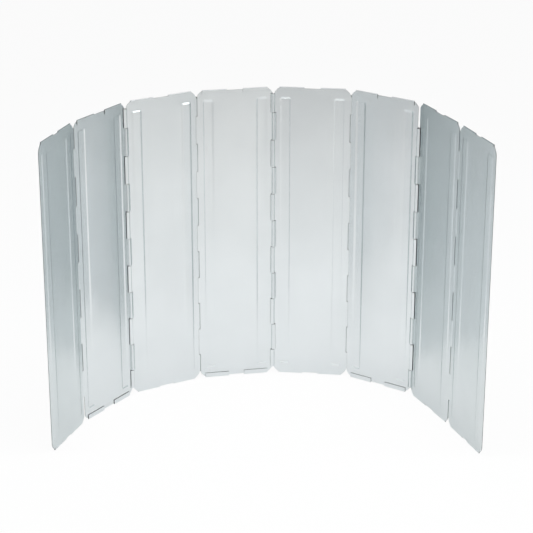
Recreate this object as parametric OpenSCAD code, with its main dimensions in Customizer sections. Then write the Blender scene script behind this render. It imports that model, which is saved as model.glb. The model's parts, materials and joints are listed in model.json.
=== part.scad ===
// Folding stove windscreen: eight sheet-metal panels, joined edge to edge by seven long pin hinges.
// The screen stands on its lower hems, set in an arc that shelters a camp stove on three sides.
// +Z is up, the open side of the arc faces -Y, and the origin is the middle of the footprint.

/* [Panels] */
// Width of a panel, from bend line to bend line
panel_w = 85; // [70:1:110]
// Height of a panel over its hems
panel_h = 342; // [240:1:400]
// Thickness of the sheet
sheet_t = 0.5; // [0.4:0.05:0.6]
// Width trimmed off the free edge of the first and last panel
end_trim = 6; // [0:0.5:12]
// Size of the cut across each corner
corner_cut = 6; // [4:0.25:8]

/* [Hems] */
// Length of a hem tab
tab_len = 27.6; // [15:0.2:30]
// Rise of a hem tab over the plain edge between the tabs
tab_rise = 1.3; // [0.9:0.1:3]
// Height of the leaf that is folded back
hem_h = 5.2; // [3:0.1:7]
// Open gap inside the hem
hem_gap = 0.4; // [0.3:0.05:0.45]
// Width of the flat land along the fold
hem_land = 0.4; // [0.2:0.05:0.6]

/* [Stiffening beads] */
// Distance from the bend line to the bead
bead_inset = 6.75; // [6:0.25:12]
// Width of a bead at its foot
bead_w = 12.5; // [8:0.25:14]
// Height of a bead over the face of the sheet
bead_h = 0.7; // [0.4:0.05:0.8]
// Run of a bead's sloping sides
bead_slope = 2.4; // [1:0.1:3]
// Distance from the top and bottom of the panel to the bead's ends
bead_end = 11.5; // [9:0.5:20]
// Distance from the free edge of an end panel to its outer bead
free_bead_inset = 5.25; // [3:0.25:10]

/* [Hinges] */
// Diameter of the hinge pin
pin_d = 1.8; // [1.7:0.1:3]
// Radial clearance of the pin in its knuckles
pin_clear = 0.05; // [0.02:0.01:0.1]
// Number of full knuckles on each hinge
knuckle_count = 9; // [5:2:13]
// Height of the end section above and below the full knuckles
end_len = 29.2; // [20:0.2:36]
// Gap between two knuckles along the pin
knuckle_gap = 0.5; // [0.3:0.1:1]
// Clearance between a notch and the knuckle that turns in it
notch_clear = 0.35; // [0.25:0.05:0.6]
// Gap between the end of a curl and the sheet
curl_gap = 0.3; // [0.2:0.05:0.4]
// Slant at which the end of a curl runs down to the sheet
curl_slant = 37; // [36:1:50]
// Step from the sheet's face down to the crown of its knuckles
roll_step = 0.05; // [0.02:0.01:0.1]
// Distance from the corner cut to a short knuckle in an end section
short_inset = 0.5; // [0.3:0.1:3]
// Distance from the corner cut to the end of a pin inside a short knuckle
pin_inset = 2; // [1:0.5:6]
// Length of pin that stands out of the last full knuckle where there is no short one
pin_stub = 1; // [0.5:0.5:3]

/* [Setting of the arc] */
// Heading of the fourth panel, turned away from the open side
heading_4 = 11.2; // [0:0.1:20]
// Bend at hinge 1, towards the open side
bend_1 = 14.1; // [0:0.1:30]
// Bend at hinge 2
bend_2 = 26.6; // [0:0.1:40]
// Bend at hinge 3
bend_3 = 18.2; // [0:0.1:30]
// Bend at hinge 4
bend_4 = 17.6; // [0:0.1:30]
// Bend at hinge 5
bend_5 = 27; // [0:0.1:40]
// Bend at hinge 6
bend_6 = 31.8; // [0:0.1:45]
// Bend at hinge 7
bend_7 = 3.4; // [0:0.1:30]

/* [Hidden] */

$fn = 48;
sheet_colour = [0.83, 0.85, 0.86];
pin_colour = [0.66, 0.67, 0.68];

// A little extra length, so that a cut passes clean through
over = 1;

// Panels are counted 1 to 8 from the left, and hinge j joins panel j to panel j + 1
panel_count = 8;
middle = panel_count / 2;

// Even hinges carry their knuckles on the front, odd ones on the back, so the screen folds like an accordion
function knuckle_side(j) = j % 2 == 0 ? 1 : -1;

// Hems are folded to the front on the even panels, but the two outer panels hide theirs at the back
function hem_side(i) = i % 2 == 0 && i < panel_count ? 1 : -1;

// True where a panel's beads are pressed out to the front, and not to the back
beads_in_front = [true, false, true, false, false, false, true, true];

// True where the panel on the right of hinge j has the larger set of knuckles
right_has_more = [true, true, true, true, true, true, false];

// True where the other panel also has a short knuckle in the top or the bottom end section
short_top = [true, true, true, true, true, false, true];
short_bottom = [false, true, true, true, true, true, true];

// Knuckle: the sheet is rolled round the pin, and its end slants down to the sheet it came from
bore_r = pin_d / 2 + pin_clear;
knuckle_r = bore_r + sheet_t;
axis_off = knuckle_r + roll_step - sheet_t / 2;
sheet_inner = axis_off - sheet_t / 2;
notch = sqrt(pow(knuckle_r, 2) - pow(sheet_inner, 2)) + notch_clear;
curl_start = bore_r / 4;

// Point where the slanting end of a curl leaves the circle of radius r, and where its line meets height y
function curl_point(r) = r * [sin(curl_slant), cos(curl_slant)];
function curl_foot(r, y) = [curl_point(r)[0] + (curl_point(r)[1] - y) / tan(curl_slant), y];

// Heights of the knuckles
knuckle_len = (panel_h - 2 * end_len) / knuckle_count;
corner_z = tab_rise + corner_cut;

function knuckle_z(k) = end_len + k * knuckle_len;

// Hem section
hem_out = hem_gap + sheet_t;
hem_round = (2 * sheet_t + hem_gap - hem_land) / 2;

// Horizontal shift of a bead's inner wall that keeps the sheet's thickness on the slope
bead_wall = sheet_t * tan(atan(bead_h / bead_slope) / 2);

// Plan of the arc: headings of the panels, then the hinge axes, worked outwards from the middle hinge
bends = [bend_1, bend_2, bend_3, bend_4, bend_5, bend_6, bend_7];

function heading(i) =
    i == middle ? heading_4
    : i > middle ? heading(i - 1) - bends[i - 2]
    : heading(i + 1) + bends[i - 1];

function along(i) = [cos(heading(i)), sin(heading(i))];
function front(i) = [sin(heading(i)), -cos(heading(i))];

// Offset of the sheet in front of hinge j's axis
function offset_at(j) = -knuckle_side(j) * axis_off;

function axis_xy(j) =
    j == middle ? [0, 0]
    : j > middle ? axis_xy(j - 1) + offset_at(j - 1) * front(j) + panel_w * along(j) - offset_at(j) * front(j)
    : axis_xy(j + 1) + offset_at(j + 1) * front(j + 1) - panel_w * along(j + 1) - offset_at(j) * front(j + 1);

// Left bend line of panel i
function foot_xy(i) = axis_xy(i - 1) + offset_at(i - 1) * front(i);

// Free ends of the first and last panel along their own width
function left_end(i) = i == 1 ? end_trim : 0;
function right_end(i) = i == panel_count ? panel_w - end_trim : panel_w;

// Footprint: the points in plan that can be outermost
function plan_point(i, u, n) = foot_xy(i) + u * along(i) + n * front(i);

plan_points = concat(
    [for (i = [1:panel_count], u = [left_end(i), right_end(i)], n = [-sheet_t / 2, sheet_t / 2]) plan_point(i, u, n)],
    [for (i = [1:panel_count], u = [left_end(i) + corner_cut, right_end(i) - corner_cut])
        plan_point(i, u, hem_side(i) * (sheet_t / 2 + hem_out))],
    [for (j = [1:panel_count - 1], d = [[-1, 0], [1, 0], [0, -1], [0, 1]]) axis_xy(j) + knuckle_r * d]
);
plan_x = [for (p = plan_points) p[0]];
plan_y = [for (p = plan_points) p[1]];
centre_x = (min(plan_x) + max(plan_x)) / 2;
centre_y = (min(plan_y) + max(plan_y)) / 2;

// True where the panel on one side of hinge j has full knuckle k
function has_knuckle(j, on_right, k) = (k % 2 == 0) == (right_has_more[j - 1] == on_right);

// True where that panel has a short knuckle in an end section
function has_short(j, on_right, flags) = right_has_more[j - 1] != on_right && flags[j - 1];

// Spans of height that a panel's edge has knuckles in, as [low, high]
function knuckle_spans(j, on_right) = concat(
    has_short(j, on_right, short_bottom) ? [[corner_z + short_inset, end_len - knuckle_gap / 2]] : [],
    [for (k = [0:knuckle_count - 1]) if (has_knuckle(j, on_right, k))
        [knuckle_z(k) + knuckle_gap / 2, knuckle_z(k + 1) - knuckle_gap / 2]],
    has_short(j, on_right, short_top)
        ? [[panel_h - end_len + knuckle_gap / 2, panel_h - corner_z - short_inset]]
        : []
);

// Spans of height that the same edge is notched in
function notch_spans(j, on_right) = concat(
    has_short(j, on_right, short_bottom) ? [] : [[-over, end_len + knuckle_gap / 2]],
    [for (k = [0:knuckle_count - 1]) if (!has_knuckle(j, on_right, k))
        [knuckle_z(k) - knuckle_gap / 2, knuckle_z(k + 1) + knuckle_gap / 2]],
    has_short(j, on_right, short_top) ? [] : [[panel_h - end_len - knuckle_gap / 2, panel_h + over]]
);

// The hinge pin reaches into the short knuckles, and stops at the last full knuckle where there are none
function pin_low(j) = short_bottom[j - 1] ? corner_z + pin_inset : end_len - pin_stub;
function pin_high(j) = short_top[j - 1] ? panel_h - corner_z - pin_inset : panel_h - end_len + pin_stub;

// Puts a panel, drawn with its left bend line on Z and its front towards -Y, in its place in the arc
module in_arc(i) {
    translate([foot_xy(i)[0] - centre_x, foot_xy(i)[1] - centre_y, 0])
        rotate([0, 0, heading(i)])
            children();
}

// Flat sheet with its four corners cut
module blank(i) {
    low = tab_rise;
    high = panel_h - tab_rise;
    left = left_end(i);
    right = right_end(i);
    translate([0, sheet_t / 2, 0])
        rotate([90, 0, 0])
            linear_extrude(sheet_t)
                polygon([
                    [left + corner_cut, low],
                    [right - corner_cut, low],
                    [right, low + corner_cut],
                    [right, high - corner_cut],
                    [right - corner_cut, high],
                    [left + corner_cut, high],
                    [left, high - corner_cut],
                    [left, low + corner_cut]
                ]);
}

// Section of an open hem at the top edge, drawn with the sheet on Y = 0 and the leaf towards +Y
module hem_section() {
    back = sheet_t / 2 + hem_out;
    difference() {
        union() {
            translate([-sheet_t / 2, panel_h - hem_h])
                square([back + sheet_t / 2, hem_h - hem_round]);
            translate([hem_round - sheet_t / 2, panel_h - hem_h])
                square([hem_land, hem_h]);
            translate([hem_round - sheet_t / 2, panel_h - hem_round])
                circle(hem_round);
            translate([back - hem_round, panel_h - hem_round])
                circle(hem_round);
        }
        translate([sheet_t / 2, panel_h - hem_h - over])
            square([hem_gap, hem_h + over - sheet_t]);
    }
}

// One hem tab along the top edge, starting at u
module hem_tab(u, side) {
    translate([u, 0, 0])
        mirror([0, side > 0 ? 1 : 0, 0])
            rotate([90, 0, 90])
                linear_extrude(tab_len)
                    hem_section();
}

// The four hem tabs of a panel
module hems(i) {
    for (u = [left_end(i) + corner_cut, right_end(i) - corner_cut - tab_len]) {
        hem_tab(u, hem_side(i));
        translate([0, 0, panel_h])
            mirror([0, 0, 1])
                hem_tab(u, hem_side(i));
    }
}

// Long block with four sloping sides: from height y0 at its foot to y1 at its crown, towards the front
module bead_block(u0, u1, z0, z1, y0, y1) {
    intersection() {
        translate([0, 0, z0])
            linear_extrude(z1 - z0)
                polygon([
                    [u0, over - y0], [u0, -y0], [u0 + bead_slope, -y1],
                    [u1 - bead_slope, -y1], [u1, -y0], [u1, over - y0]
                ]);
        translate([u0, 0, 0])
            rotate([90, 0, 90])
                linear_extrude(u1 - u0)
                    polygon([
                        [over - y0, z0], [-y0, z0], [-y1, z0 + bead_slope],
                        [-y1, z1 - bead_slope], [-y0, z1], [over - y0, z1]
                    ]);
    }
}

// Left sides of a panel's two beads, which sit closer to a free edge than to a hinge
function bead_places(i) = [
    i == 1 ? left_end(i) + free_bead_inset : bead_inset,
    right_end(i) - bead_w - (i == panel_count ? free_bead_inset : bead_inset)
];

// Raised face of the beads
module bead_faces(i) {
    mirror([0, beads_in_front[i - 1] ? 0 : 1, 0])
        for (u = bead_places(i))
            intersection() {
                bead_block(u, u + bead_w, bead_end, panel_h - bead_end, sheet_t / 2, sheet_t / 2 + bead_h);
                translate([u, -bead_h - sheet_t, bead_end])
                    cube([bead_w, bead_h + sheet_t, panel_h - 2 * bead_end]);
            }
}

// Hollow behind the beads
module bead_hollows(i) {
    mirror([0, beads_in_front[i - 1] ? 0 : 1, 0])
        for (u = bead_places(i))
            bead_block(
                u + bead_wall, u + bead_w - bead_wall, bead_end + bead_wall, panel_h - bead_end - bead_wall,
                -sheet_t / 2, bead_h - sheet_t / 2
            );
}

// Section of a knuckle with its pin at the origin, its own sheet below it and that sheet's panel towards +X
module knuckle_section() {
    seam = curl_gap - sheet_inner;
    difference() {
        union() {
            circle(knuckle_r);
            polygon([[0, 0], curl_point(knuckle_r), curl_foot(knuckle_r, seam), [0, seam]]);
        }
        circle(bore_r);
        polygon([
            [curl_start, 0],
            curl_point(bore_r),
            curl_foot(bore_r, -sheet_inner),
            [curl_start, -sheet_inner]
        ]);
    }
}

// Rolled knuckles of hinge j along one edge, with the bend line at u
module knuckles(u, j, on_right) {
    for (s = knuckle_spans(j, on_right))
        translate([u, -knuckle_side(j) * axis_off, s[0]])
            mirror([on_right ? 0 : 1, 0, 0])
                mirror([0, knuckle_side(j) > 0 ? 1 : 0, 0])
                    linear_extrude(s[1] - s[0])
                        knuckle_section();
}

// Notches of an edge at hinge j, where the knuckles of the other panel turn
module notches(u, j, on_right) {
    for (s = notch_spans(j, on_right))
        translate([u, 0, (s[0] + s[1]) / 2])
            cube([2 * notch, 3 * sheet_t, s[1] - s[0]], center = true);
}

// A whole panel in its place
module panel(i) {
    in_arc(i)
        difference() {
            union() {
                difference() {
                    blank(i);
                    if (i > 1)
                        notches(0, i - 1, true);
                    if (i < panel_count)
                        notches(panel_w, i, false);
                }
                if (i > 1)
                    knuckles(0, i - 1, true);
                if (i < panel_count)
                    knuckles(panel_w, i, false);
                hems(i);
                bead_faces(i);
            }
            bead_hollows(i);
        }
}

// A whole hinge pin in its place
module hinge_pin(j) {
    translate([axis_xy(j)[0] - centre_x, axis_xy(j)[1] - centre_y, pin_low(j)])
        cylinder(d = pin_d, h = pin_high(j) - pin_low(j));
}

module panel_1() { color(sheet_colour) panel(1); }
module panel_2() { color(sheet_colour) panel(2); }
module panel_3() { color(sheet_colour) panel(3); }
module panel_4() { color(sheet_colour) panel(4); }
module panel_5() { color(sheet_colour) panel(5); }
module panel_6() { color(sheet_colour) panel(6); }
module panel_7() { color(sheet_colour) panel(7); }
module panel_8() { color(sheet_colour) panel(8); }
module hinge_pin_1() { color(pin_colour) hinge_pin(1); }
module hinge_pin_2() { color(pin_colour) hinge_pin(2); }
module hinge_pin_3() { color(pin_colour) hinge_pin(3); }
module hinge_pin_4() { color(pin_colour) hinge_pin(4); }
module hinge_pin_5() { color(pin_colour) hinge_pin(5); }
module hinge_pin_6() { color(pin_colour) hinge_pin(6); }
module hinge_pin_7() { color(pin_colour) hinge_pin(7); }

panel_1();
panel_2();
panel_3();
panel_4();
panel_5();
panel_6();
panel_7();
panel_8();
hinge_pin_1();
hinge_pin_2();
hinge_pin_3();
hinge_pin_4();
hinge_pin_5();
hinge_pin_6();
hinge_pin_7();
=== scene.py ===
# %% [markdown]
# # A folding stove windscreen
#
# The object is a screen for a camp stove. Eight panels of thin rolled aluminium are hinged edge to edge,
# and they stand in an arc that is open towards the cook. A scene like this could be started empty and
# arranged by eye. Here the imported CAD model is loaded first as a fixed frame, because every piece made
# later then knows where it belongs and which body it moves with.

import json
import math

import bmesh
import bpy
from mathutils import Matrix, Vector


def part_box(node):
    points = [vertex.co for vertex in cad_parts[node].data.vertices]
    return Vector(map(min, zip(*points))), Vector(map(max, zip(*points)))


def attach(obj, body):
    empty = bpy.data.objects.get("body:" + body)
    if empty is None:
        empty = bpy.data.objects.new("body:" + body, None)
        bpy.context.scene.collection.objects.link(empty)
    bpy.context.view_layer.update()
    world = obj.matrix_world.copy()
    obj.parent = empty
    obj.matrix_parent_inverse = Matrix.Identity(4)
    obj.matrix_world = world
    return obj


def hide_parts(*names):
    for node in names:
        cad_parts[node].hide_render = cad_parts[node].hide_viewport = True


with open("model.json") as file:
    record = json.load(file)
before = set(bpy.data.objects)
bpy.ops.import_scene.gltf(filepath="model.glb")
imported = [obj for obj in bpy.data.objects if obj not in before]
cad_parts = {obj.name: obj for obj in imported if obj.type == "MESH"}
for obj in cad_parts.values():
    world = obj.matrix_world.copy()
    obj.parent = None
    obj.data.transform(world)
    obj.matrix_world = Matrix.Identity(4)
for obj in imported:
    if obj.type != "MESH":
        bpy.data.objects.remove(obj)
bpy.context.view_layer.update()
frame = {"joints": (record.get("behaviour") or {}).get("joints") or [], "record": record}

# %% [markdown]
# ## Sizes of the sheet
#
# A panel starts as a flat blank of half-millimetre sheet, so its sizes are those that a sheet-metal worker
# would set: the blank, the hem tabs, the pressed beads and the curl round the wire. They could be measured
# from the CAD meshes, but a drawing's own numbers are easier to read, and the later cells only combine
# them.

# %% Name the sizes
MM = 0.001
PANELS = 8

PANEL_W = 85 * MM
PANEL_H = 342 * MM
SHEET = 0.5 * MM
FREE_TRIM = 6 * MM

TAB_TO = 33.6 * MM
TAB_RISE = 1.3 * MM
HEM_H = 5.2 * MM
HEM_BEND = 0.36 * MM
HEM_TURN = math.pi

BEAD_W = 12.5 * MM
BEAD_INSET = 6.75 * MM
BEAD_FREE_INSET = 5.25 * MM
BEAD_END = 11.5 * MM
BEAD_H = 0.7 * MM
BEAD_FAINT_H = 0.45 * MM
BEAD_WALL = 2.4 * MM
BEAD_CORNER = 2.6 * MM

CURL_R = 1.25 * MM
CURL_TURN = math.radians(217)
CURL_TAIL = 2.5 * MM
KNUCKLES = 9
END_LEN = 29.2 * MM
KNUCKLE_GAP = 0.5 * MM
SHORT_FROM = 7.8 * MM

print("blank:", round(PANEL_W / MM), "x", round(PANEL_H / MM), "mm, sheet", SHEET / MM, "mm")

# %% [markdown]
# ## Plan of the arc
#
# Seen from above, the screen is a chain of straight lines. Each panel could be placed by hand, but then no
# two edges would quite meet. So the hinge axes come from the frame's joints, and each panel's heading
# follows from the bends between neighbours. Odd hinges have their knuckles on the back and even ones on the
# front, which is what lets the screen fold like an accordion, so the sheet runs beside the axis and not
# through it.

# %% Work out where each panel stands
HEADING_4 = 11.2
BENDS = (14.1, 26.6, 18.2, 17.6, 27, 31.8, 3.4)
BEADS_IN_FRONT = (1, 3, 7, 8)
FAINT_BEADS = (1, 7, 8)

axes = {int(j["name"].split("_")[1]): Vector(j["pos_m"][:2]) for j in frame["joints"]}
headings = {4: math.radians(HEADING_4)}
for i in range(5, PANELS + 1):
    headings[i] = headings[i - 1] - math.radians(BENDS[i - 2])
for i in range(3, 0, -1):
    headings[i] = headings[i + 1] + math.radians(BENDS[i - 1])


def knuckle_side(j):
    """1 where hinge j has its knuckles on the front, -1 on the back."""
    return 1 if j % 2 == 0 else -1


def hem_side(i):
    """1 where panel i has its hems folded to the front, -1 to the back."""
    return 1 if i % 2 == 0 and i < PANELS else -1


def bead_height(i):
    """How far panel i's beads stand out to the front, or with a minus to the back."""
    height = BEAD_FAINT_H if i in FAINT_BEADS else BEAD_H
    return height if i in BEADS_IN_FRONT else -height


def panel_foot(i):
    """Lower end of panel i's left bend line."""
    turn = headings[i]
    along = Vector((math.cos(turn), math.sin(turn)))
    front = Vector((math.sin(turn), -math.cos(turn)))
    j = max(i - 1, 1)
    foot = axes[j] - knuckle_side(j) * CURL_R * front
    if i == 1:
        foot -= PANEL_W * along
    return Vector((foot.x, foot.y, 0))


print("headings:", [round(math.degrees(headings[i]), 1) for i in range(1, PANELS + 1)])

# %% [markdown]
# ## Camera
#
# The photograph was taken from the middle of the open side, about two metres away and looking down by about
# 22 degrees, with a long lens. A camera can be turned by eye until the outlines agree. These values come
# from fitting the panels' corners instead, which is exact enough that no shift or crop is needed.

# %% Set the camera
CAMERA_AT = (0.0081, -1.8336, 0.9107)
LOOK_DOWN = math.radians(21.93)
LOOK_LEFT = math.radians(0.28)
ROLL = math.radians(0.05)
SENSOR = 36
LENS = 124.85


def into_scene(name, data):
    """A new object for some data, linked to the scene."""
    made = bpy.data.objects.new(name, data)
    bpy.context.scene.collection.objects.link(made)
    return made


camera = into_scene("camera", bpy.data.cameras.new("camera"))
camera.data.sensor_width = SENSOR
camera.data.lens = LENS
camera.matrix_world = (
    Matrix.Translation(CAMERA_AT)
    @ Matrix.Rotation(LOOK_LEFT, 4, "Z")
    @ Matrix.Rotation(math.pi / 2 - LOOK_DOWN, 4, "X")
    @ Matrix.Rotation(ROLL, 4, "Z")
)
bpy.context.scene.camera = camera
print("camera:", camera.data.lens, "mm lens")

# %% [markdown]
# ## Finish of the metal
#
# Mill-finish aluminium is not a mirror. Rolling leaves fine lines along the sheet, handling leaves soft
# cloudy marks, and at a slant the dull skin of the metal takes some light away. A picture of metal could be
# laid on the panels, but it would show its edges and its own light. Noise on Object coordinates stays fixed
# to the metal from every side. The lines and the clouds serve the sheet, its cut edges and the wire, so
# each is a small node group with its own inputs, and the loss at a slant is the shader's own edge tint.

# %% Node helpers
def node(tree, kind, **values):
    """Adds a node and sets its plain properties."""
    made = tree.nodes.new(kind)
    for name, value in values.items():
        setattr(made, name, value)
    return made


def plug(tree, socket, value):
    """Links a socket to an output, or writes a plain value into it."""
    if isinstance(value, bpy.types.NodeSocket):
        tree.links.new(value, socket)
    else:
        socket.default_value = value


def calc(tree, operation, *values):
    """A math node on outputs or numbers."""
    made = node(tree, "ShaderNodeMath", operation=operation)
    for socket, value in zip(made.inputs, values):
        plug(tree, socket, value)
    return made.outputs[0]


print("node helpers:", [helper.__name__ for helper in (node, plug, calc)])


# %% Groups for grain and haze
HAZE_FROM, HAZE_TO = 0.35, 0.65


def pattern_group(name, inputs, output, fill):
    """A shader group with a vector input, some numbers and one value out."""
    group = bpy.data.node_groups.new(name, "ShaderNodeTree")
    group.interface.new_socket("Vector", in_out="INPUT", socket_type="NodeSocketVector")
    for label, default in inputs:
        socket = group.interface.new_socket(label, in_out="INPUT", socket_type="NodeSocketFloat")
        socket.default_value = default
    group.interface.new_socket(output, in_out="OUTPUT", socket_type="NodeSocketFloat")
    given = node(group, "NodeGroupInput").outputs
    result = node(group, "NodeGroupOutput")
    group.links.new(fill(group, given), result.inputs[output])
    return group


def fill_grain(group, given):
    """Noise that is drawn out along the height, as rolling lines are."""
    lines = given["Lines per metre"]
    scale = node(group, "ShaderNodeCombineXYZ")
    plug(group, scale.inputs["X"], lines)
    plug(group, scale.inputs["Y"], lines)
    plug(group, scale.inputs["Z"], calc(group, "DIVIDE", lines, given["Stretch"]))
    stretched = node(group, "ShaderNodeVectorMath", operation="MULTIPLY")
    plug(group, stretched.inputs[0], given["Vector"])
    plug(group, stretched.inputs[1], scale.outputs[0])
    noise = node(group, "ShaderNodeTexNoise")
    noise.inputs["Scale"].default_value = 1
    noise.inputs["Detail"].default_value = 3
    noise.inputs["Roughness"].default_value = 0.6
    plug(group, noise.inputs["Vector"], stretched.outputs[0])
    return noise.outputs["Fac"]


def fill_haze(group, given):
    """Soft clouds with clear patches between them."""
    cloud = node(group, "ShaderNodeTexNoise")
    cloud.inputs["Detail"].default_value = 4
    cloud.inputs["Roughness"].default_value = 0.55
    plug(group, cloud.inputs["Vector"], given["Vector"])
    plug(group, cloud.inputs["Scale"], given["Clouds per metre"])
    spread = node(group, "ShaderNodeMapRange", interpolation_type="SMOOTHSTEP")
    plug(group, spread.inputs["Value"], cloud.outputs["Fac"])
    spread.inputs["From Min"].default_value = HAZE_FROM
    spread.inputs["From Max"].default_value = HAZE_TO
    return spread.outputs["Result"]


GRAIN_INPUTS = (("Lines per metre", 1500), ("Stretch", 60))
HAZE_INPUTS = (("Clouds per metre", 14),)
rolling_grain = pattern_group("rolling_grain", GRAIN_INPUTS, "Grain", fill_grain)
handling_haze = pattern_group("handling_haze", HAZE_INPUTS, "Haze", fill_haze)
print("groups:", rolling_grain.name, handling_haze.name)


# %% Metal materials
GRAZING_TINT = (0.72, 0.775, 0.765)
RIDGE_STRENGTH = 0.018
RIDGE_H = 0.02 * MM


def metal(name, dull, bright, smooth, rough, lines, stretch, clouds):
    """A bare metal whose colour and roughness follow the grain and the haze."""
    made = bpy.data.materials.new(name)
    made.use_nodes = True
    tree = made.node_tree
    shader = tree.nodes["Principled BSDF"]
    shader.inputs["Metallic"].default_value = 1
    shader.inputs["Specular Tint"].default_value = (*GRAZING_TINT, 1)
    place = node(tree, "ShaderNodeTexCoord").outputs["Object"]
    grain = node(tree, "ShaderNodeGroup", node_tree=rolling_grain)
    haze = node(tree, "ShaderNodeGroup", node_tree=handling_haze)
    plug(tree, grain.inputs["Vector"], place)
    plug(tree, haze.inputs["Vector"], place)
    grain.inputs["Lines per metre"].default_value = lines
    grain.inputs["Stretch"].default_value = stretch
    haze.inputs["Clouds per metre"].default_value = clouds
    half_grain = calc(tree, "MULTIPLY", grain.outputs["Grain"], 0.5)
    both = calc(tree, "MULTIPLY_ADD", haze.outputs["Haze"], 0.5, half_grain)
    tint = node(tree, "ShaderNodeMix", data_type="RGBA")
    plug(tree, tint.inputs["Factor"], both)
    tint.inputs["A"].default_value = (*dull, 1)
    tint.inputs["B"].default_value = (*bright, 1)
    plug(tree, shader.inputs["Base Color"], tint.outputs["Result"])
    matt = node(tree, "ShaderNodeMapRange")
    plug(tree, matt.inputs["Value"], both)
    matt.inputs["From Min"].default_value = 0.2
    matt.inputs["From Max"].default_value = 0.8
    matt.inputs["To Min"].default_value = rough
    matt.inputs["To Max"].default_value = smooth
    plug(tree, shader.inputs["Roughness"], matt.outputs["Result"])
    ridges = node(tree, "ShaderNodeBump")
    ridges.inputs["Strength"].default_value = RIDGE_STRENGTH
    ridges.inputs["Distance"].default_value = RIDGE_H
    plug(tree, ridges.inputs["Height"], grain.outputs["Grain"])
    plug(tree, shader.inputs["Normal"], ridges.outputs["Normal"])
    return made


rolled_sheet = metal(
    "rolled_sheet",
    dull=(0.796, 0.822, 0.836),
    bright=(0.846, 0.87, 0.885),
    smooth=0.24,
    rough=0.268,
    lines=600,
    stretch=80,
    clouds=14,
)
# The torn face is rougher than the sheet, and its near-black colour is painted shade for the dark gaps
# where notch edges meet the knuckles.
sheared_edge_with_painted_shade = metal(
    "sheared_edge_with_painted_shade",
    dull=(0.11, 0.113, 0.117),
    bright=(0.16, 0.164, 0.168),
    smooth=0.4,
    rough=0.5,
    lines=4000,
    stretch=1,
    clouds=60,
)
# The wire's colour is painted shade: it is kept dark so that the gaps between the knuckles, where it shows,
# look shadowed.
wire_painted_dark = metal(
    "wire_painted_dark",
    dull=(0.22, 0.22, 0.23),
    bright=(0.27, 0.27, 0.28),
    smooth=0.35,
    rough=0.5,
    lines=3000,
    stretch=40,
    clouds=40,
)
print("materials:", rolled_sheet.name, sheared_edge_with_painted_shade.name, wire_painted_dark.name)

# %% [markdown]
# ## Which edge has which knuckles
#
# The two edges of a hinge share one wire. One panel has five of the nine long knuckles, the other has the
# four between them, and a short one at each end unless the sheet was cut away there. They could be drawn
# one by one, but a rule is shorter and keeps both edges in step. It gives spans of height, and the blank is
# cut to them.

# %% Spans of knuckles and notches
RIGHT_HAS_MORE = (True, True, True, True, True, True, False)
SHORT_TOP = (True, True, True, True, True, False, True)
SHORT_BOTTOM = (False, True, True, True, True, True, True)
KNUCKLE_LEN = (PANEL_H - 2 * END_LEN) / KNUCKLES
HALF_GAP = KNUCKLE_GAP / 2


def knuckle_spans(j, on_right):
    """Spans of height in which the edge on one side of hinge j has knuckles."""
    more = RIGHT_HAS_MORE[j - 1] == on_right
    spans = []
    if not more and SHORT_BOTTOM[j - 1]:
        spans.append((SHORT_FROM, END_LEN - HALF_GAP))
    for k in range(0 if more else 1, KNUCKLES, 2):
        low = END_LEN + k * KNUCKLE_LEN
        spans.append((low + HALF_GAP, low + KNUCKLE_LEN - HALF_GAP))
    if not more and SHORT_TOP[j - 1]:
        spans.append((PANEL_H - END_LEN + HALF_GAP, PANEL_H - SHORT_FROM))
    return spans


def within(spans, height):
    """True where a height lies in one of the spans."""
    return any(low < height < high for low, high in spans)


def notched(j, on_right, height):
    """True where that edge is cut back for the other panel's knuckles."""
    more = RIGHT_HAS_MORE[j - 1] == on_right
    if height < END_LEN + (HALF_GAP if more else -HALF_GAP):
        return more or not SHORT_BOTTOM[j - 1]
    if height > PANEL_H - END_LEN - (HALF_GAP if more else -HALF_GAP):
        return more or not SHORT_TOP[j - 1]
    return not within(knuckle_spans(j, on_right), height)


for j in range(1, PANELS):
    print("hinge", j, "knuckles:", len(knuckle_spans(j, False)), "+", len(knuckle_spans(j, True)))

# %% [markdown]
# ## The flat blank
#
# Like the real part, each panel is first cut flat: a tall plate with rounded corners, knuckle strips
# standing out at the sides and hem tabs at the top and bottom. An outline could be filled and then divided,
# but a grid whose lines run through every corner of that outline is simpler, and it also puts enough lines
# where the sheet will bend later.

# %% Lines of the grid
CURL_STEPS = 18
TAIL_STEPS = 3
HEM_STEPS = 10
WALL_COUNT = 10
CORNER_COUNT = 8
CORNER_WIDE = 6.4 * MM
CORNER_TALL = 8 * MM
CORNER_POWER = 1.4
PAST_WALL = 3.2 * MM
FLAP_LINE = 0.2 * MM
TINY = 0.01 * MM

CURL_LEN = CURL_R * CURL_TURN
HEM_START = HEM_BEND + SHEET / 2
HEM_LEN = HEM_BEND * HEM_TURN
WALL_STEPS = [BEAD_WALL * k / WALL_COUNT for k in range(WALL_COUNT + 1)] + [BEAD_CORNER, PAST_WALL]
CORNER_STEPS = [1 - (k / CORNER_COUNT) ** (1 / CORNER_POWER) for k in range(CORNER_COUNT + 1)]
# The notches end on a line that the rounded corners have already.
NOTCH = CORNER_WIDE * CORNER_STEPS[6]


def ends(i):
    """Left and right edge of panel i's plate along its width."""
    return (FREE_TRIM if i == 1 else 0), (PANEL_W - FREE_TRIM if i == PANELS else PANEL_W)


def beads(i):
    """Left sides of panel i's two beads."""
    left, right = ends(i)
    return (
        left + (BEAD_FREE_INSET if i == 1 else BEAD_INSET),
        right - BEAD_W - (BEAD_FREE_INSET if i == PANELS else BEAD_INSET),
    )


def grid_lines(values):
    """Sorted values without repeats."""
    kept = []
    for value in sorted(values):
        if not kept or value - kept[-1] > TINY:
            kept.append(value)
    return kept


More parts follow.
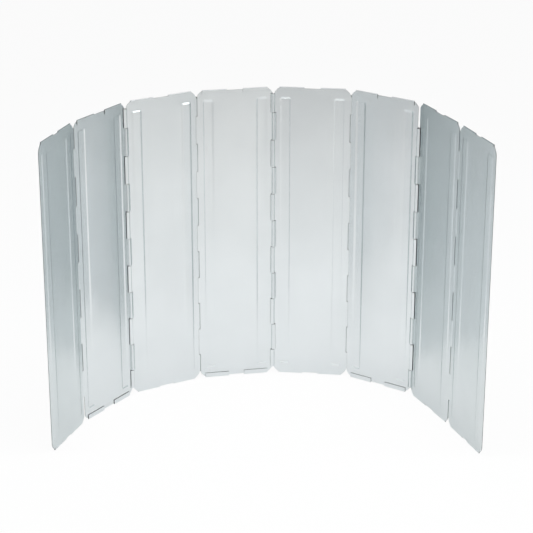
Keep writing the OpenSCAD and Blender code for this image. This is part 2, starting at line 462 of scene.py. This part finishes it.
def lines_across(i):
    """Where the upright lines of panel i's grid stand along its width."""
    left, right = ends(i)
    lines = [left + TAB_TO, right - TAB_TO]
    for s in CORNER_STEPS:
        lines += [left + CORNER_WIDE * s, right - CORNER_WIDE * s]
    for start in beads(i):
        lines += [start + s for s in WALL_STEPS] + [start + BEAD_W - s for s in WALL_STEPS]
    curl = [CURL_LEN * k / CURL_STEPS for k in range(1, CURL_STEPS + 1)]
    curl += [CURL_LEN + CURL_TAIL * k / TAIL_STEPS for k in range(1, TAIL_STEPS + 1)]
    if i > 1:
        lines += [-s for s in curl]
    if i < PANELS:
        lines += [PANEL_W + s for s in curl]
    return grid_lines(lines)


def lines_up():
    """Where the level lines of every panel's grid lie along its height."""
    low_half = [TAB_RISE + CORNER_TALL * s for s in CORNER_STEPS] + [SHORT_FROM]
    low_half += [BEAD_END + s for s in WALL_STEPS]
    low_half += [HEM_START - HEM_LEN * k / HEM_STEPS for k in range(HEM_STEPS + 1)]
    low_half += [HEM_START - HEM_LEN - s for s in (FLAP_LINE, HEM_H - HEM_START)]
    lines = low_half + [PANEL_H - z for z in low_half]
    for k in range(KNUCKLES + 1):
        lines += [END_LEN + k * KNUCKLE_LEN - HALF_GAP, END_LEN + k * KNUCKLE_LEN + HALF_GAP]
    return grid_lines(lines)


print("grid of panel 4:", len(lines_across(4)), "x", len(lines_up()))


# %% Cut the blank
def corner_share(part):
    """1 on an edge and 0 where the rounded corner ends; on the cut itself two such shares add up to 1."""
    return max(1 - part, 0) ** CORNER_POWER


def cell_kept(i, u, z):
    """True where the middle of a grid cell lies on panel i's blank, corners aside."""
    left, right = ends(i)
    if z < TAB_RISE or z > PANEL_H - TAB_RISE:
        return CORNER_WIDE < min(u - left, right - u) < TAB_TO
    if u < left:
        return within(knuckle_spans(i - 1, True), z)
    if u > right:
        return within(knuckle_spans(i, False), z)
    if i > 1 and u < NOTCH and notched(i - 1, True, z):
        return False
    return not (i < PANELS and u > PANEL_W - NOTCH and notched(i, False, z))


def in_corner_cut(i, u, z):
    """True where a point of the plate is beyond the rounded cut of a corner."""
    left, right = ends(i)
    from_side = min(u - left, right - u)
    from_end = min(z, PANEL_H - z) - TAB_RISE
    if min(from_side, from_end) <= -TINY:
        return False
    return corner_share(from_side / CORNER_WIDE) + corner_share(from_end / CORNER_TALL) > 1.0001


def cut_blank(i):
    """Flat mesh of panel i, with its width along X and its height along Z."""
    us, zs = lines_across(i), lines_up()
    blank = bmesh.new()
    made = {}

    def point(a, b):
        if (a, b) not in made:
            made[a, b] = blank.verts.new((us[a], 0, zs[b]))
        return made[a, b]

    for a in range(len(us) - 1):
        for b in range(len(zs) - 1):
            if not cell_kept(i, (us[a] + us[a + 1]) / 2, (zs[b] + zs[b + 1]) / 2):
                continue
            loop = [(a, b), (a + 1, b), (a + 1, b + 1), (a, b + 1)]
            loop = [p for p in loop if not in_corner_cut(i, us[p[0]], zs[p[1]])]
            if len(loop) > 2:
                blank.faces.new([point(*p) for p in loop])
    mesh = bpy.data.meshes.new(f"blank_{i}")
    blank.to_mesh(mesh)
    blank.free()
    return mesh


blanks = {i: cut_blank(i) for i in range(1, PANELS + 1)}
print("blanks:", [len(blanks[i].polygons) for i in blanks])

# %% [markdown]
# ## Forming the sheet
#
# Pressing, rolling and folding turn the blank into a panel. Each could be modelled by hand on every panel,
# but each is also a short formula on the flat coordinates, so one Geometry Nodes tree does all three with
# the sizes as inputs. The beads are pressed to the front on some panels and to the back on others, and less
# deep on the outer ones. The strips beyond the bend lines are curled round the wire, the tabs are folded
# back on themselves, and the panel is then stood in its place in the arc.

# %% Inputs of the forming tree
FORMING_INPUTS = (
    ("Panel width", PANEL_W),
    ("Panel height", PANEL_H),
    ("First bead", 0.0),
    ("Second bead", 0.0),
    ("Bead width", BEAD_W),
    ("Bead end", BEAD_END),
    ("Bead corner", BEAD_CORNER),
    ("Bead wall", BEAD_WALL),
    ("Bead height", BEAD_H),
    ("Curl radius", CURL_R),
    ("Curl turn", CURL_TURN),
    ("Left curl side", 1.0),
    ("Right curl side", 1.0),
    ("Hem start", HEM_START),
    ("Hem bend", HEM_BEND),
    ("Hem turn", HEM_TURN),
    ("Hem side", 1.0),
    ("Heading", 0.0),
)


def new_tree(name, inputs):
    """A geometry tree with a mesh and a material input, numbers, and one mesh out."""
    tree = bpy.data.node_groups.new(name, "GeometryNodeTree")
    tree.interface.new_socket("Mesh", in_out="INPUT", socket_type="NodeSocketGeometry")
    for label, default in inputs:
        socket = tree.interface.new_socket(label, in_out="INPUT", socket_type="NodeSocketFloat")
        socket.default_value = default
    tree.interface.new_socket("Place", in_out="INPUT", socket_type="NodeSocketVector")
    tree.interface.new_socket("Metal", in_out="INPUT", socket_type="NodeSocketMaterial")
    tree.interface.new_socket("Mesh", in_out="OUTPUT", socket_type="NodeSocketGeometry")
    return tree, node(tree, "NodeGroupInput").outputs


def end_tree(tree, geometry, given):
    """Realizes the geometry, gives it its metal and passes it out."""
    whole = node(tree, "GeometryNodeRealizeInstances")
    coat = node(tree, "GeometryNodeSetMaterial")
    result = node(tree, "NodeGroupOutput")
    tree.links.new(geometry, whole.inputs[0])
    tree.links.new(whole.outputs[0], coat.inputs["Geometry"])
    tree.links.new(given["Metal"], coat.inputs["Material"])
    tree.links.new(coat.outputs[0], result.inputs[0])


print("forming inputs:", len(FORMING_INPUTS), "numbers, a place and a metal")


# %% Pressed bead as a formula
def bead_rise(tree, given, u, z, start):
    """0 to 1: how far the sheet is pressed out at (u, z) by the bead that starts at that width."""
    corner = given["Bead corner"]
    half_w = calc(tree, "MULTIPLY", given["Bead width"], 0.5)
    middle = calc(tree, "MULTIPLY", given["Panel height"], 0.5)
    half_h = calc(tree, "SUBTRACT", middle, given["Bead end"])
    off_u = calc(tree, "SUBTRACT", u, calc(tree, "ADD", given[start], half_w))
    off_z = calc(tree, "SUBTRACT", z, middle)
    past_u = calc(tree, "SUBTRACT", calc(tree, "ABSOLUTE", off_u), calc(tree, "SUBTRACT", half_w, corner))
    past_z = calc(tree, "SUBTRACT", calc(tree, "ABSOLUTE", off_z), calc(tree, "SUBTRACT", half_h, corner))
    out_u = calc(tree, "MAXIMUM", past_u, 0)
    out_z = calc(tree, "MAXIMUM", past_z, 0)
    squares = calc(tree, "MULTIPLY_ADD", out_u, out_u, calc(tree, "MULTIPLY", out_z, out_z))
    outside = calc(tree, "SQRT", squares)
    inside = calc(tree, "MINIMUM", calc(tree, "MAXIMUM", past_u, past_z), 0)
    depth = calc(tree, "SUBTRACT", corner, calc(tree, "ADD", outside, inside))
    wall = node(tree, "ShaderNodeMapRange", interpolation_type="SMOOTHSTEP")
    plug(tree, wall.inputs["Value"], depth)
    plug(tree, wall.inputs["From Max"], given["Bead wall"])
    return wall.outputs["Result"]


# A smooth step is steepest in its middle, by half as much again as a straight ramp.
print("bead wall:", round(math.degrees(math.atan(1.5 * BEAD_H / BEAD_WALL))), "degrees at its steepest")


# %% Bend as a formula
def bend(tree, length, radius, turn):
    """Forward and sideways travel of a strip that bends round a radius and then runs on straight."""
    length = calc(tree, "MAXIMUM", length, 0)
    angle = calc(tree, "MINIMUM", calc(tree, "DIVIDE", length, radius), turn)
    tail = calc(tree, "SUBTRACT", length, calc(tree, "MULTIPLY", angle, radius))
    forward = calc(tree, "MULTIPLY", calc(tree, "SINE", angle), radius)
    forward = calc(tree, "MULTIPLY_ADD", calc(tree, "COSINE", turn), tail, forward)
    aside = calc(tree, "MULTIPLY", calc(tree, "SUBTRACT", 1, calc(tree, "COSINE", angle)), radius)
    aside = calc(tree, "MULTIPLY_ADD", calc(tree, "SINE", turn), tail, aside)
    return forward, aside


print("strip for a knuckle:", round((CURL_LEN + CURL_TAIL) / MM, 2), "mm")
print("strip for a hem bend:", round(HEM_LEN / MM, 2), "mm")


# %% The forming tree
def forming_tree():
    """Presses, curls and folds a flat blank, then stands it in the arc."""
    tree, given = new_tree("form_a_panel", FORMING_INPUTS)
    flat = node(tree, "ShaderNodeSeparateXYZ")
    tree.links.new(node(tree, "GeometryNodeInputPosition").outputs[0], flat.inputs[0])
    u, z = flat.outputs["X"], flat.outputs["Z"]
    width, hem_start = given["Panel width"], given["Hem start"]
    top = calc(tree, "SUBTRACT", given["Panel height"], hem_start)
    curl = given["Curl radius"], given["Curl turn"]
    hem = given["Hem bend"], given["Hem turn"]

    first = bead_rise(tree, given, u, z, "First bead")
    second = bead_rise(tree, given, u, z, "Second bead")
    left_out, left_aside = bend(tree, calc(tree, "MULTIPLY", u, -1), *curl)
    right_out, right_aside = bend(tree, calc(tree, "SUBTRACT", u, width), *curl)
    low_out, low_aside = bend(tree, calc(tree, "SUBTRACT", hem_start, z), *hem)
    top_out, top_aside = bend(tree, calc(tree, "SUBTRACT", z, top), *hem)

    across = calc(tree, "MINIMUM", calc(tree, "MAXIMUM", u, 0), width)
    across = calc(tree, "ADD", calc(tree, "SUBTRACT", across, left_out), right_out)
    up = calc(tree, "MINIMUM", calc(tree, "MAXIMUM", z, hem_start), top)
    up = calc(tree, "ADD", calc(tree, "SUBTRACT", up, low_out), top_out)
    front = calc(tree, "MULTIPLY", calc(tree, "MAXIMUM", first, second), given["Bead height"])
    front = calc(tree, "MULTIPLY_ADD", left_aside, given["Left curl side"], front)
    front = calc(tree, "MULTIPLY_ADD", right_aside, given["Right curl side"], front)
    front = calc(tree, "MULTIPLY_ADD", calc(tree, "ADD", low_aside, top_aside), given["Hem side"], front)

    formed = node(tree, "ShaderNodeCombineXYZ")
    plug(tree, formed.inputs["X"], across)
    plug(tree, formed.inputs["Y"], calc(tree, "MULTIPLY", front, -1))
    plug(tree, formed.inputs["Z"], up)
    press = node(tree, "GeometryNodeSetPosition")
    tree.links.new(given["Mesh"], press.inputs["Geometry"])
    tree.links.new(formed.outputs[0], press.inputs["Position"])
    turn = node(tree, "ShaderNodeCombineXYZ")
    plug(tree, turn.inputs["Z"], given["Heading"])
    stand = node(tree, "GeometryNodeTransform")
    tree.links.new(press.outputs[0], stand.inputs["Geometry"])
    tree.links.new(turn.outputs[0], stand.inputs["Rotation"])
    tree.links.new(given["Place"], stand.inputs["Translation"])
    end_tree(tree, stand.outputs[0], given)
    return tree


form_a_panel = forming_tree()
print("forming tree:", len(form_a_panel.nodes), "nodes")

# %% [markdown]
# ## From a tree to a plain mesh
#
# A modifier's result can stay live on the object, but a finished piece is easier to move, measure and
# export as a plain mesh. So a passing object carries the modifiers, its evaluated mesh is kept, and the
# object is removed. The faces are then turned outwards, and the bends are smoothed while the cut edges stay
# sharp.

# %% Run a tree and finish its mesh
MERGE = 0.002 * MM
SHARP = math.radians(40)


def evaluated_mesh(carrier, name):
    """The object's mesh with its modifiers applied. The object itself is removed."""
    graph = bpy.context.evaluated_depsgraph_get()
    graph.update()
    mesh = bpy.data.meshes.new_from_object(carrier.evaluated_get(graph), depsgraph=graph)
    mesh.name = name
    bpy.data.objects.remove(carrier)
    return mesh


def run_tree(tree, mesh, name, values):
    """Puts the tree on a mesh with these input values, and returns the plain mesh that comes out."""
    carrier = into_scene(name + "_carrier", mesh)
    modifier = carrier.modifiers.new("nodes", "NODES")
    modifier.node_group = tree
    for socket in tree.interface.items_tree:
        if socket.in_out == "INPUT" and socket.name in values:
            modifier[socket.identifier] = values[socket.name]
    return evaluated_mesh(carrier, name)


def break_edges(carrier, width, segments, from_degrees):
    """Bevels the edges that turn by more than an angle."""
    edges = carrier.modifiers.new("broken_edges", "BEVEL")
    edges.width = width
    edges.segments = segments
    edges.limit_method = "ANGLE"
    edges.angle_limit = math.radians(from_degrees)


def tidy_normals(mesh):
    """Closes doubles, turns all faces outwards and smooths what is not a sharp edge."""
    work = bmesh.new()
    work.from_mesh(mesh)
    bmesh.ops.remove_doubles(work, verts=work.verts, dist=MERGE)
    bmesh.ops.recalc_face_normals(work, faces=work.faces)
    work.to_mesh(mesh)
    work.free()
    mesh.shade_smooth()
    mesh.set_sharp_from_angle(angle=SHARP)


print("sharp edges: from", round(math.degrees(SHARP)), "degrees")

# %% [markdown]
# ## Eight panels
#
# The formed sheet is still only a surface in the middle of the metal. It could be drawn as two skins, but
# Solidify gives it the sheet's thickness more evenly, half to each side. The cut edges get a darker,
# rougher metal, because shears leave a torn face, and the near-black of that metal is also painted shade
# for the dark gaps beside the knuckles, where a notch edge faces the other panel's curl. A very small bevel
# breaks them as deburring does. The result is one plain mesh for each panel, which stands for the CAD panel
# of the same number and rides on its body.

# %% Make the panels
EDGE_BREAK = 0.06 * MM


def thicken(mesh, name):
    """Gives a formed surface the sheet's thickness, with sheared edges in a near-black metal that also
    paints the shade of the hinge gaps.
    """
    mesh.materials.append(sheared_edge_with_painted_shade)
    carrier = into_scene(name + "_carrier", mesh)
    wall = carrier.modifiers.new("wall", "SOLIDIFY")
    wall.material_offset_rim = 1
    wall.thickness = SHEET
    wall.offset = 0
    wall.use_even_offset = True
    break_edges(carrier, EDGE_BREAK, segments=1, from_degrees=50)
    return evaluated_mesh(carrier, name)


panels = {}
for i in range(1, PANELS + 1):
    first, second = beads(i)
    formed = run_tree(
        form_a_panel,
        blanks[i],
        f"formed_{i}",
        {
            "First bead": first,
            "Second bead": second,
            "Bead height": bead_height(i),
            "Left curl side": float(knuckle_side(i - 1)),
            "Right curl side": float(knuckle_side(i)),
            "Hem side": float(hem_side(i)),
            "Heading": headings[i],
            "Place": panel_foot(i),
            "Metal": rolled_sheet,
        },
    )
    mesh = thicken(formed, f"screen_panel_{i}")
    tidy_normals(mesh)
    panels[i] = into_scene(f"screen_panel_{i}", mesh)
    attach(panels[i], f"panel_{i}")
    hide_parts(f"panel_{i}")
    print(panels[i].name, len(mesh.polygons), "faces")

# %% [markdown]
# ## Hinge wires
#
# Each hinge turns on a straight wire that shows only in the gaps between knuckles and at its ends. A
# cylinder would do, but a tube swept along a line is how a wire is thought of, and it takes its length from
# the CAD pin. So a second tree sweeps a circle along one edge for each pin, and a bevel rounds the cropped
# ends. Wires that ride on the same panel are one mesh.

# %% Make the wires
WIRE_R = 0.9 * MM
WIRE_SIDES = 24.0
CROP_ROUND = 0.3 * MM


def wire_tree():
    """Sweeps a circle along the edges of a mesh."""
    tree, given = new_tree("sweep_a_wire", (("Wire radius", WIRE_R), ("Sides", WIRE_SIDES)))
    line = node(tree, "GeometryNodeMeshToCurve")
    tree.links.new(given["Mesh"], line.inputs["Mesh"])
    circle = node(tree, "GeometryNodeCurvePrimitiveCircle")
    plug(tree, circle.inputs["Resolution"], calc(tree, "ROUND", given["Sides"]))
    plug(tree, circle.inputs["Radius"], given["Wire radius"])
    tube = node(tree, "GeometryNodeCurveToMesh")
    tree.links.new(line.outputs[0], tube.inputs["Curve"])
    tree.links.new(circle.outputs[0], tube.inputs["Profile Curve"])
    tube.inputs["Fill Caps"].default_value = True
    end_tree(tree, tube.outputs[0], given)
    return tree


def round_ends(mesh, name):
    """Rounds the cropped ends of swept wires."""
    carrier = into_scene(name + "_carrier", mesh)
    break_edges(carrier, CROP_ROUND, segments=3, from_degrees=60)
    return evaluated_mesh(carrier, name)


sweep_a_wire = wire_tree()
for body, members in frame["record"]["behaviour"]["bodies"].items():
    pins = [n for n in members if n.startswith("hinge_pin")]
    if not pins:
        continue
    points = []
    for pin in pins:
        low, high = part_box(pin)
        middle = (low + high) / 2
        points += [(middle.x, middle.y, low.z), (middle.x, middle.y, high.z)]
    lines = bpy.data.meshes.new("wire_lines")
    lines.from_pydata(points, [(k, k + 1) for k in range(0, len(points), 2)], [])
    swept = run_tree(sweep_a_wire, lines, "swept_" + body, {"Metal": wire_painted_dark})
    mesh = round_ends(swept, "hinge_wires_" + body)
    tidy_normals(mesh)
    wires = into_scene("hinge_wires_" + body, mesh)
    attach(wires, body)
    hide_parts(*pins)
    print(wires.name, len(mesh.polygons), "faces for", len(pins), "pins")

# %% [markdown]
# ## Floor and light
#
# Bare metal shows what stands round it. The panels look down at the floor in front of the screen and at one
# another, so most of their tone comes from the floor. It is nearly plain white to the camera, partly white
# to reflections, and still takes a soft shadow. The walls are pale and slightly blue-green, and the room
# above them is dim. Only reflections see a pale ceiling and a pale front, which bead ends and folds turn
# to, and only the camera sees a white backdrop. One large lamp would light the floor too, but four soft
# boxes with slight tints can each be judged alone: a long strip over the arc, one in front, one on the
# left, and one on the right that the metal itself also sees.

# %% Floor
REACH = 12
PAPER = 0.92
WHITE_TO_CAMERA = 0.95
WHITE_TO_METAL = 0.225


def ray_kinds(tree):
    """Two masks: what the camera sees straight on, and what it sees in metal or glass."""
    rays = node(tree, "ShaderNodeLightPath").outputs
    mirrored = calc(tree, "MAXIMUM", rays["Is Glossy Ray"], rays["Is Transmission Ray"])
    return rays["Is Camera Ray"], mirrored


floor_mesh = bpy.data.meshes.new("floor")
corners = [(-REACH, -REACH, 0), (REACH, -REACH, 0), (REACH, REACH, 0), (-REACH, REACH, 0)]
floor_mesh.from_pydata(corners, [], [(0, 1, 2, 3)])
floor = into_scene("floor", floor_mesh)

paper = bpy.data.materials.new("paper_floor")
paper.use_nodes = True
tree = paper.node_tree
lit = tree.nodes["Principled BSDF"]
lit.inputs["Base Color"].default_value = (PAPER, PAPER, PAPER, 1)
lit.inputs["Roughness"].default_value = 0.9
lit.inputs["Specular IOR Level"].default_value = 0.0
white = node(tree, "ShaderNodeEmission")
white.inputs["Strength"].default_value = 1.0
direct, mirrored = ray_kinds(tree)
seen = calc(tree, "MULTIPLY", direct, WHITE_TO_CAMERA)
choose = node(tree, "ShaderNodeMixShader")
plug(tree, choose.inputs["Fac"], calc(tree, "MULTIPLY_ADD", mirrored, WHITE_TO_METAL, seen))
tree.links.new(lit.outputs[0], choose.inputs[1])
tree.links.new(white.outputs[0], choose.inputs[2])
tree.links.new(choose.outputs[0], tree.nodes["Material Output"].inputs["Surface"])
floor_mesh.materials.append(paper)
print("floor:", 2 * REACH, "m square")

# %% World
WALLS = (0.69, 0.85, 0.87, 1)
FRONT_WALL = (0.88, 0.9, 0.9, 1)
DIM = (0.125, 0.125, 0.125, 1)
PALE = (0.95, 0.95, 0.95, 1)
WHITE = (1, 1, 1, 1)
WALL_TOP = 0.1, 0.35
CEILING = 0.6, 0.85
FRONT = 0.2, 0.5


def climb(tree, value, span):
    """0 up to the start of a span and 1 from its end."""
    step = node(tree, "ShaderNodeMapRange", interpolation_type="SMOOTHSTEP")
    plug(tree, step.inputs["Value"], value)
    step.inputs["From Min"].default_value, step.inputs["From Max"].default_value = span
    return step.outputs["Result"]


def blend(tree, share, first, second):
    """A colour between two others."""
    mix = node(tree, "ShaderNodeMix", data_type="RGBA")
    plug(tree, mix.inputs["Factor"], share)
    plug(tree, mix.inputs["A"], first)
    plug(tree, mix.inputs["B"], second)
    return mix.outputs["Result"]


world = bpy.data.worlds.new("studio")
world.use_nodes = True
bpy.context.scene.world = world
tree = world.node_tree
way = node(tree, "ShaderNodeSeparateXYZ")
tree.links.new(node(tree, "ShaderNodeTexCoord").outputs["Generated"], way.inputs[0])
direct, mirrored = ray_kinds(tree)
overhead = climb(tree, way.outputs["Z"], CEILING)
ahead = climb(tree, calc(tree, "MULTIPLY", way.outputs["Y"], -1), FRONT)
pale = calc(tree, "MULTIPLY", calc(tree, "MAXIMUM", overhead, ahead), mirrored)
low = blend(tree, calc(tree, "MULTIPLY", ahead, mirrored), WALLS, FRONT_WALL)
high = blend(tree, pale, DIM, PALE)
room = blend(tree, climb(tree, way.outputs["Z"], WALL_TOP), low, high)
sky = tree.nodes["Background"]
sky.inputs["Strength"].default_value = 1.0
plug(tree, sky.inputs["Color"], blend(tree, direct, room, WHITE))
print("world:", len(tree.nodes), "nodes")

# %% Lamps
BOX = (0.5, 0.5)
STRIP = (1.8, 0.3)
PLAIN = (1, 1, 1)
COOL = (0.95, 0.99, 1)
WARM = (1, 0.95, 0.86)
# Each lamp has a place, a point that it faces, a size, its watts, a tint, and whether metal shows it.
LAMPS = {
    "top_strip": ((0.2, -0.12, 1.2), (0.2, -0.13, 0), STRIP, 11.8, COOL, False),
    "front_box": ((0.6, -0.8, 1.0), (0.4, -0.7, 0), BOX, 3.4, WARM, False),
    "left_box": ((-0.6, -0.15, 1.0), (-0.4, -0.15, 0), BOX, 1.4, PLAIN, False),
    "right_box": ((1.85, -1.2, 1.0), (0, 0, 0.2), BOX, 2.5, PLAIN, True),
}

for name, (place, aim, size, watts, tint, shown) in LAMPS.items():
    lamp = bpy.data.lights.new(name, "AREA")
    lamp.shape = "RECTANGLE"
    lamp.size, lamp.size_y = size
    lamp.energy = watts
    lamp.color = tint
    holder = into_scene(name, lamp)
    holder.location = place
    holder.rotation_euler = (Vector(aim) - Vector(place)).to_track_quat("-Z", "Y").to_euler()
    holder.visible_glossy = shown

bpy.context.scene.view_settings.view_transform = "Standard"
